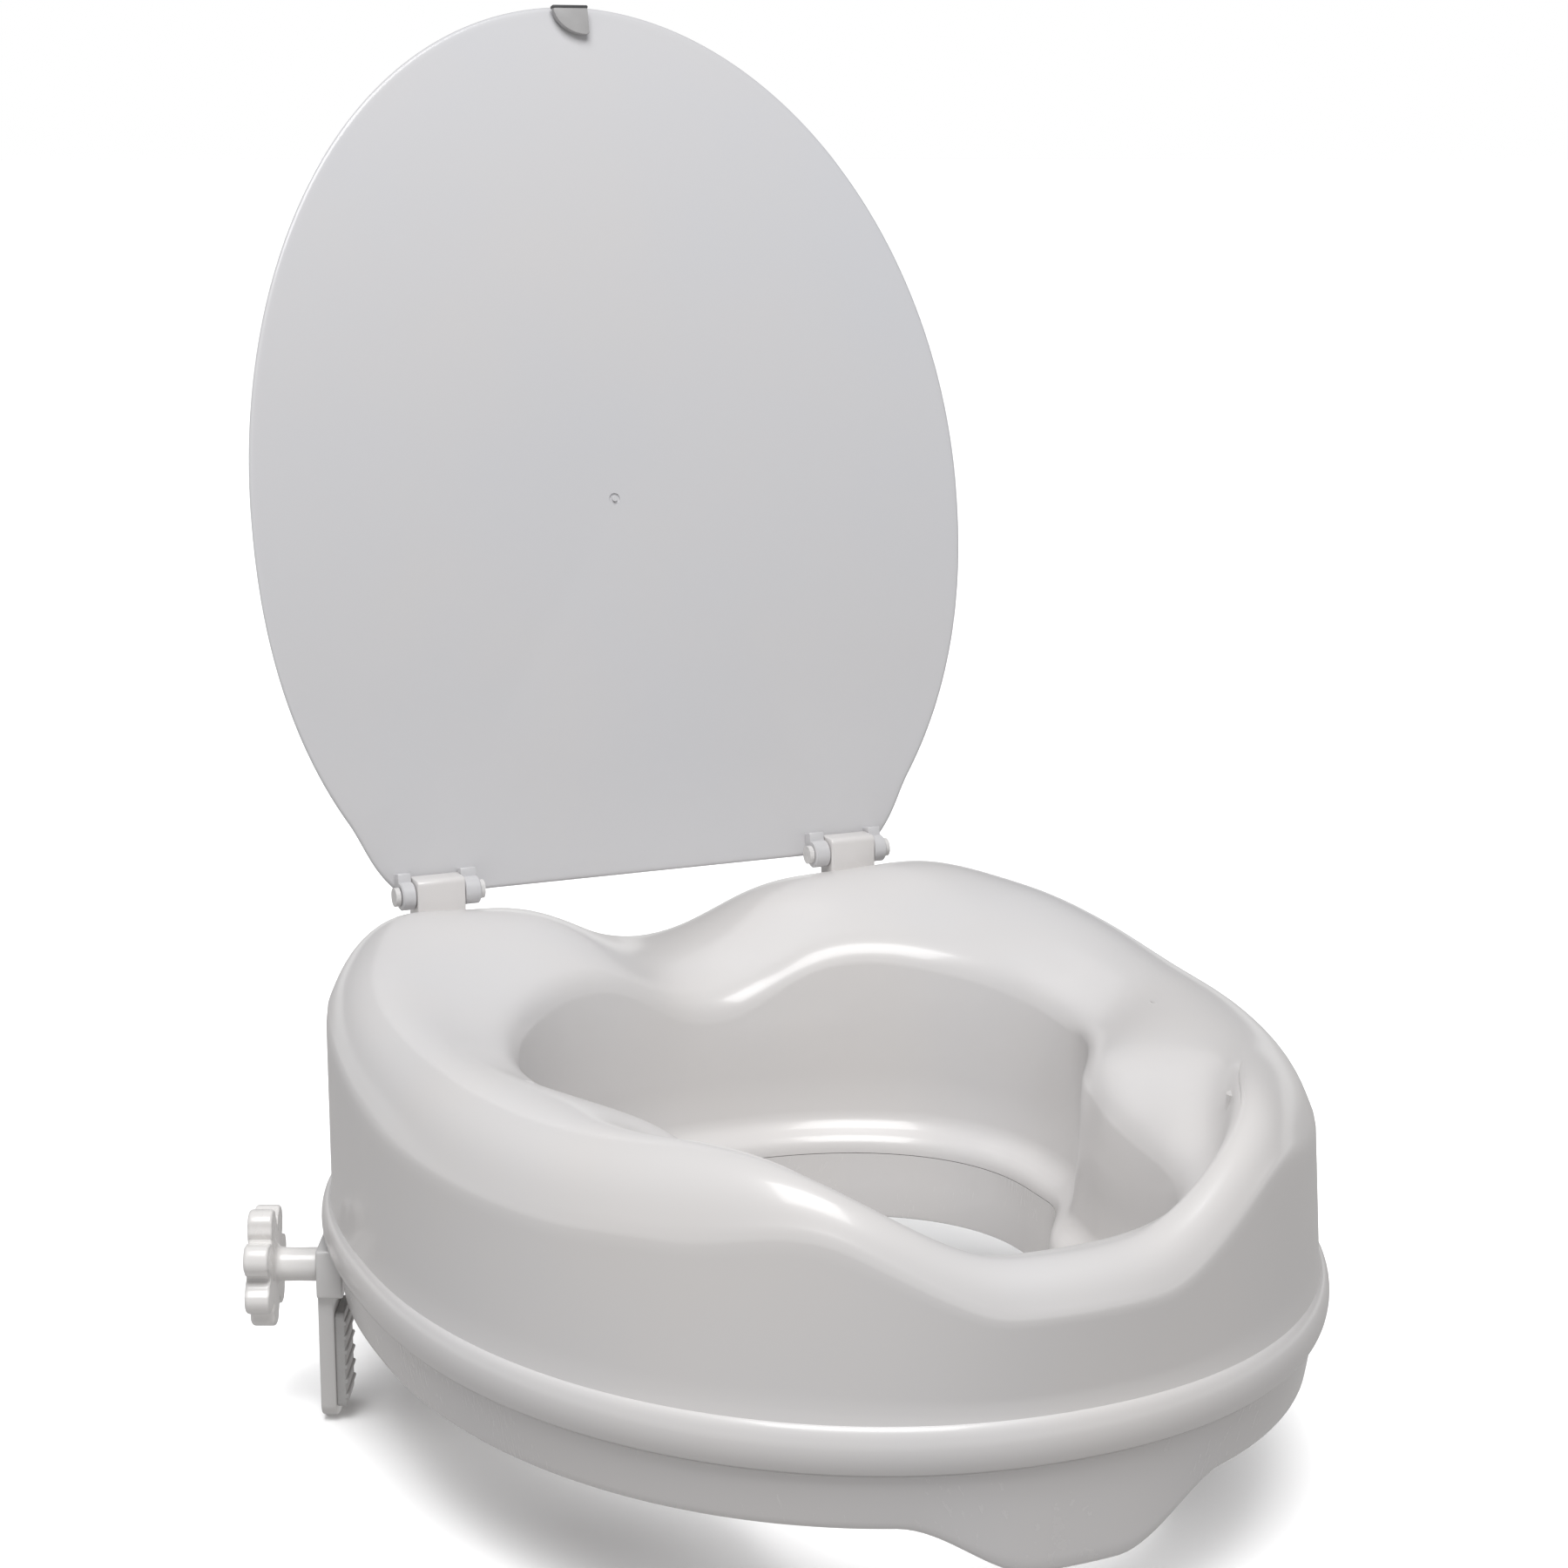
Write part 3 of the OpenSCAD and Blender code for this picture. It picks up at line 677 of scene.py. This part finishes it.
# ---------------------------------------------------------------- clamps
def star(theta):
    """Radius of the lobed knob at an angle."""
    pitch = 2 * math.pi / LOBES
    phi = np.abs((theta + pitch / 2) % pitch - pitch / 2)
    d, rl, g, rg = KNOB_R - 6.8, 6.8, KNOB_R + 0.6, 6.2
    lobe = d * np.cos(phi) + np.sqrt(np.maximum(0.0, rl ** 2 - (d * np.sin(phi)) ** 2))
    psi = pitch / 2 - phi
    root = rg ** 2 - (g * np.sin(psi)) ** 2
    groove = np.where(root > 0, g * np.cos(psi) - np.sqrt(np.maximum(0.0, root)), 99.0)
    k = 1.1
    h = np.clip(0.5 + 0.5 * (groove - lobe) / k, 0, 1)
    return mix(groove, lobe, h) - k * h * (1 - h)


def knob(side, tag):
    place = clamp_frame(side)
    th = np.linspace(0, 2 * math.pi, 336, endpoint=False)
    st = star(th)

    def ring(x, w, r, inset=0.0):
        rad = mix(np.full_like(th, r), st - inset, w)
        return place(np.stack([np.full_like(th, x), rad * np.cos(th), rad * np.sin(th)], -1))

    rows = [ring(6.1, 0, 6.5), ring(6.3, 0, 6.85), ring(6.8, 0, 7.0), ring(14, 0, 6.9), ring(20, 0, 7.0),
            ring(21.6, 0, 7.25), ring(22.5, 0, 7.9), ring(22.9, 0, 8.8), ring(23.0, 0, 10)]
    rows += [ring(23.1, w, 10, 1.6) for w in (0.35, 0.7)]
    rows += [ring(23.2 + 1.4 * (1 - math.cos(a)), 1, 0, 1.4 * (1 - math.sin(a))) for a in arc(0, 90, 6)]
    rows += [ring(31.7 + 1.7 * math.sin(a), 1, 0, 1.7 * (1 - math.cos(a))) for a in arc(0, 90, 7)]
    rows += [ring(33.5, w, 10.5, 1.7) for w in (0.75, 0.45, 0.15)]
    rows += [ring(33.6, 0, 10.2), ring(33.5, 0, 9.6), ring(33.1, 0, 9.25), ring(32, 0, 9.2)]
    rows += [ring(32, 0, 4.05), ring(6.1, 0, 4.05)]
    body = loft("clamp_knob_skin_" + tag, rows)
    finish_piece(body, "knob_" + tag, "knob_white", mat_knob, "clamp_knob_" + tag, angle=45)
    cap = [(32.05, 0), (32.05, 8.9), (33.2, 9.0), (33.9, 8.7), (34.15, 8.1), (34.2, 7.4), (34.05, 6.6),
           (33.95, 5.8), (33.9, 0)]
    cap_skin = lathe("knob_cap_skin_" + tag, cap, place, 96)
    finish_piece(cap_skin, "knob_" + tag, "knob_cap", mat_cap, "knob_cap_" + tag)


def bracket(side, tag):
    place = clamp_frame(side)
    z0 = -CLAMP_Z
    head = rounded_rect(-17, 17, z0 + 0.4, z0 + 21.2, 1.6)
    block = plate("clamp_bracket_skin_" + tag, head, -6, 4.8, 1.0, place)
    zc = z0 - TONGUE + 8
    tongue = [(14, z0 + 1), (-14, z0 + 1)]
    tongue += [(14 * math.cos(a), zc + 8 * math.sin(a)) for a in arc(180, 360, 33)]
    boolean(block, plate("tongue", tongue, -1.6, 4.8, 0.9, place), "UNION")
    slot_out = rounded_rect(-9, 9, z0 - TONGUE + 12, z0 - 10, 3)
    boolean(block, plate("recess", slot_out, 2.8, 8, 0.4, place), "DIFFERENCE")
    boolean(block, lathe("bracket_bore", cylinder(-8, 9, 4.25), place, 48), "DIFFERENCE")
    finish_piece(block, "bracket_" + tag, "bracket_white", mat_bracket, "clamp_bracket_" + tag)
    pad_edge = rounded_rect(-12, 12, z0 - TONGUE + 6, z0 - 8, 2.5)
    pad = plate("clamp_pad_skin_" + tag, pad_edge, -5.6, -1.6, 0.5, place)
    for i in range(6):
        z = z0 - TONGUE + 11 + i * 6.4
        rib = lathe("rib", [(-12, 0), (-12, 0.7), (-11.7, 0.9), (11.7, 0.9), (12, 0.7), (12, 0)],
                    lambda v, z=z: place(np.stack([v[:, 1] - 5.6, v[:, 0], v[:, 2] + z], -1)), 24)
        boolean(pad, rib, "UNION")
    finish_piece(pad, "bracket_" + tag, "pad_rubber", mat_rubber, "clamp_pad_" + tag)


def stud(side, tag):
    """Clamp screw with a rolled thread, plain where the retaining clip sits."""
    place = clamp_frame(side)
    prof, x = [(-36, 0), (-36, 3.0)], -35.2
    while x < 28:
        if -7.9 < x < -5.8:
            prof += [(-7.5, 3.3), (-6.4, 3.3)]
            x = -5.7
            continue
        prof += [(x, 3.35), (x + 0.5, 3.98), (x + 0.75, 3.98)]
        x += PITCH
    prof += [(28.8, 3.2), (28.8, 0)]
    skin = lathe("clamp_stud_skin_" + tag, prof, place, 48)
    finish_piece(skin, "knob_" + tag, "stud_steel", mat_steel, "clamp_stud_" + tag, angle=50)


for side, tag in ((-1, "left"), (1, "right")):
    knob(side, tag)
    bracket(side, tag)
    stud(side, tag)

# ---------------------------------------------------------------- carried-over CAD nodes and their finish
kept_nodes = {"base_screws": mat_steel, "rim_pads": mat_rubber, "hinge_pin_caps": mat_cap}
for tag in ("left", "right"):
    kept_nodes["hinge_pin_" + tag] = mat_bright
    kept_nodes["thrust_washer_" + tag] = mat_steel
    kept_nodes["stud_clip_" + tag] = mat_dark
    kept_nodes["clamp_nut_" + tag] = mat_steel
for name, mat in kept_nodes.items():
    NODES[name].data.materials.clear()
    NODES[name].data.materials.append(mat)

# ---------------------------------------------------------------- floor, light, camera
FLOOR_R = 38
KEY_PLACE, KEY_TARGET, KEY_SIZE, KEY_POWER = (-0.45, -0.85, 2.15), (0, 0.0, 0.1), (1.5, 1.3), 48
WASH_POWER, WASH_ANGLE, WASH_AIM = 3.9, 1.8, (0.1, 0.24, -1)
GROUND, HORIZON, SKY = (0.55, 0.54, 0.535, 1), (1.0, 1.0, 1.0, 1), (0.15, 0.152, 0.16, 1)
LENS, SENSOR = 72.0, 36.0
CAMERA_PLACE = Vector((-0.50716, -1.10823, 0.47501))
CAMERA_FORWARD = Vector((0.39790643, 0.893437, -0.20842457))
CAMERA_RIGHT = Vector((0.9135, -0.4068, 0.0))


def floor_mat(name, base):
    m, nt, b, tc = nodes_of(name)
    g = noise(nt, tc, 0.8, 4.0)
    col = blend(nt, span(nt, g, 0.0, 1.0), tuple(c * 0.985 for c in base), base)
    nt.links.new(col, b.inputs["Base Color"])
    nt.links.new(span(nt, g, 0.75, 0.9), b.inputs["Roughness"])
    b.inputs["Specular IOR Level"].default_value = 0.1
    return m


floor_place = (0, 0, cad_box[0].z)
bpy.ops.mesh.primitive_circle_add(vertices=96, radius=FLOOR_R, fill_type="NGON", location=floor_place)
floor = bpy.context.active_object
floor.name = "floor"
floor.data.materials.append(floor_mat("floor_pale", (0.9, 0.9, 0.9)))
floor.visible_diffuse = False
floor.visible_glossy = False
floor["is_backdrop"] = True


def add_light(name, kind, power, aim):
    data = bpy.data.lights.new(name, kind)
    data.energy = power
    obj = bpy.data.objects.new(name, data)
    bpy.context.scene.collection.objects.link(obj)
    obj.rotation_euler = aim.to_track_quat("-Z", "Y").to_euler()
    return obj


key = add_light("key", "AREA", KEY_POWER, Vector(KEY_TARGET) - Vector(KEY_PLACE))
key.location = KEY_PLACE
key.data.shape = "RECTANGLE"
key.data.size, key.data.size_y = KEY_SIZE

# an even wash that only the floor receives, so that it stays pale
wash = add_light("floor_wash", "SUN", WASH_POWER, Vector(WASH_AIM))
wash.data.angle = WASH_ANGLE
stage_only = bpy.data.collections.new("stage_only")
stage_only.objects.link(floor)
wash.light_linking.receiver_collection = stage_only

# world: a grey below, a white band at the horizon and a dim sky, by the height of the direction
world = bpy.data.worlds.new("studio")
bpy.context.scene.world = world
world.use_nodes = True
wn = world.node_tree
bg = wn.nodes["Background"]
tcw = wn.nodes.new("ShaderNodeTexCoord")
sep = wn.nodes.new("ShaderNodeSeparateXYZ")
ramp = wn.nodes.new("ShaderNodeValToRGB")
wn.links.new(tcw.outputs["Generated"], sep.inputs[0])
wn.links.new(ramp.outputs["Color"], bg.inputs["Color"])
level = wn.nodes.new("ShaderNodeMapRange")
level.inputs["From Min"].default_value = -1.0
wn.links.new(sep.outputs["Z"], level.inputs["Value"])
wn.links.new(level.outputs["Result"], ramp.inputs[0])
for stop, (pos, colour) in zip(ramp.color_ramp.elements, ((0.45, GROUND), (0.56, SKY))):
    stop.position = pos
    stop.color = colour
for pos in (0.478, 0.527):
    ramp.color_ramp.elements.new(pos).color = HORIZON
bg.inputs["Strength"].default_value = 1.0

cam_d = bpy.data.cameras.new("camera")
cam = bpy.data.objects.new("camera", cam_d)
bpy.context.scene.collection.objects.link(cam)
cam_d.lens, cam_d.sensor_width = LENS, SENSOR
cam_d.clip_start, cam_d.clip_end = 0.01, 200
forward, right = CAMERA_FORWARD.normalized(), CAMERA_RIGHT.normalized()
axes = Matrix((right, right.cross(forward), -forward)).transposed()
cam.matrix_world = Matrix.Translation(CAMERA_PLACE) @ axes.to_4x4()
bpy.context.scene.camera = cam
bpy.context.scene.view_settings.view_transform = "Standard"

visual_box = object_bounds()
sizes = {"cad": cad_box, "visual": visual_box}
{name: [list(map(float, corner)) for corner in pair] for name, pair in sizes.items()}
